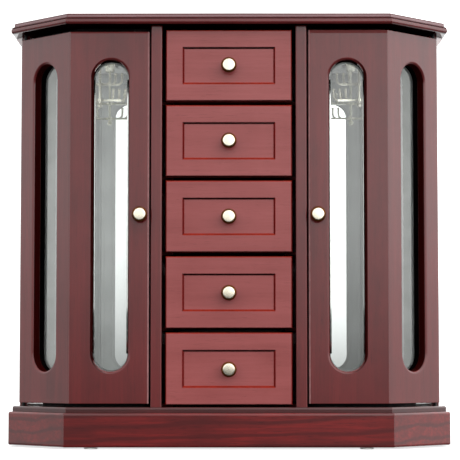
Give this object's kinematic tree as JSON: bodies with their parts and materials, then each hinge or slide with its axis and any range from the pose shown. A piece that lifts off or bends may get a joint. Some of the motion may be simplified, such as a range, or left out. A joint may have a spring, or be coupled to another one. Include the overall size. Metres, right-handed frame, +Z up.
{
  "type": "jewelry armoire",
  "caption": "Table-top jewelry armoire: stack of small drawers between bent glass doors that open on mirrored compartments with turning necklace hooks.",
  "frame": {"origin": "middle of the bounding box, on the surface the feet stand on", "axes": "+Z up, the front with the drawers faces -Y, +X to the right seen from the front"},
  "size_m": [0.4, 0.171, 0.3866],
  "materials": {
    "cherry_lacquer": "satin",
    "drawer_lacquer": "satin",
    "plinth_lacquer": "satin",
    "tray_wood": "matt",
    "black_liner": "matt",
    "grey_velvet": "matt",
    "glass": "gloss",
    "mirror": "gloss",
    "pale_brass": "polished",
    "hook_metal": "polished",
    "steel": "brushed",
    "magnet_case": "matt",
    "felt": "matt"
  },
  "bodies": {
    "cabinet": {"plinth_front": "plinth_lacquer", "plinth_corner_left": "plinth_lacquer", "plinth_corner_right": "plinth_lacquer", "plinth_side_left": "plinth_lacquer", "plinth_side_right": "plinth_lacquer", "plinth_back": "plinth_lacquer", "feet": "felt", "bottom_board": "plinth_lacquer", "top_board": "cherry_lacquer", "back_panel": "cherry_lacquer", "drawer_runners": "tray_wood", "catch_magnets": "magnet_case", "door_pins": "steel", "carousel_bushings": "hook_metal", "side_panel_left": "cherry_lacquer", "centre_wall_left": "cherry_lacquer", "mirror_left": "mirror", "crown_moulding_left": "cherry_lacquer", "floor_pad_left": "grey_velvet", "side_panel_right": "cherry_lacquer", "centre_wall_right": "cherry_lacquer", "mirror_right": "mirror", "crown_moulding_right": "cherry_lacquer", "floor_pad_right": "grey_velvet"},
    "drawer_1": {"drawer_front_1": "drawer_lacquer", "drawer_tray_1": "tray_wood", "drawer_lining_1": "grey_velvet", "drawer_knob_1": "pale_brass"},
    "drawer_2": {"drawer_front_2": "drawer_lacquer", "drawer_tray_2": "tray_wood", "drawer_lining_2": "grey_velvet", "drawer_knob_2": "pale_brass"},
    "drawer_3": {"drawer_front_3": "drawer_lacquer", "drawer_tray_3": "tray_wood", "drawer_lining_3": "grey_velvet", "drawer_knob_3": "pale_brass"},
    "drawer_4": {"drawer_front_4": "drawer_lacquer", "drawer_tray_4": "tray_wood", "drawer_lining_4": "grey_velvet", "drawer_knob_4": "pale_brass"},
    "drawer_5": {"drawer_front_5": "drawer_lacquer", "drawer_tray_5": "tray_wood", "drawer_lining_5": "grey_velvet", "drawer_knob_5": "pale_brass"},
    "door_left": {"door_front_leaf_left": "cherry_lacquer", "door_corner_leaf_left": "cherry_lacquer", "door_liner_left": "black_liner", "door_lining_left": "grey_velvet", "door_glass_left": "glass", "door_strike_left": "steel", "door_knob_left": "pale_brass"},
    "carousel_left": {"carousel_left": "hook_metal"},
    "door_right": {"door_front_leaf_right": "cherry_lacquer", "door_corner_leaf_right": "cherry_lacquer", "door_liner_right": "black_liner", "door_lining_right": "grey_velvet", "door_glass_right": "glass", "door_strike_right": "steel", "door_knob_right": "pale_brass"},
    "carousel_right": {"carousel_right": "hook_metal"}
  },
  "joints": [
    {"name": "drawer_1_slide", "type": "slide", "parent": "cabinet", "child": "drawer_1", "axis": [0, -1, 0], "range_m": [0, 0.11]},
    {"name": "drawer_2_slide", "type": "slide", "parent": "cabinet", "child": "drawer_2", "axis": [0, -1, 0], "range_m": [0, 0.11]},
    {"name": "drawer_3_slide", "type": "slide", "parent": "cabinet", "child": "drawer_3", "axis": [0, -1, 0], "range_m": [0, 0.11]},
    {"name": "drawer_4_slide", "type": "slide", "parent": "cabinet", "child": "drawer_4", "axis": [0, -1, 0], "range_m": [0, 0.11]},
    {"name": "drawer_5_slide", "type": "slide", "parent": "cabinet", "child": "drawer_5", "axis": [0, -1, 0], "range_m": [0, 0.11]},
    {"name": "door_left_hinge", "type": "hinge", "parent": "cabinet", "child": "door_left", "pos_m": [-0.187, -0.02434, 0.2], "axis": [0, 0, -1], "range_deg": [0, 110]},
    {"name": "door_right_hinge", "type": "hinge", "parent": "cabinet", "child": "door_right", "pos_m": [0.187, -0.02434, 0.2], "axis": [0, 0, 1], "range_deg": [0, 110]},
    {"name": "carousel_left_spin", "type": "hinge", "parent": "cabinet", "child": "carousel_left", "pos_m": [-0.1213, 0.0095, 0.34], "axis": [0, 0, 1], "continuous": true},
    {"name": "carousel_right_spin", "type": "hinge", "parent": "cabinet", "child": "carousel_right", "pos_m": [0.1213, 0.0095, 0.34], "axis": [0, 0, 1], "continuous": true}
  ]
}
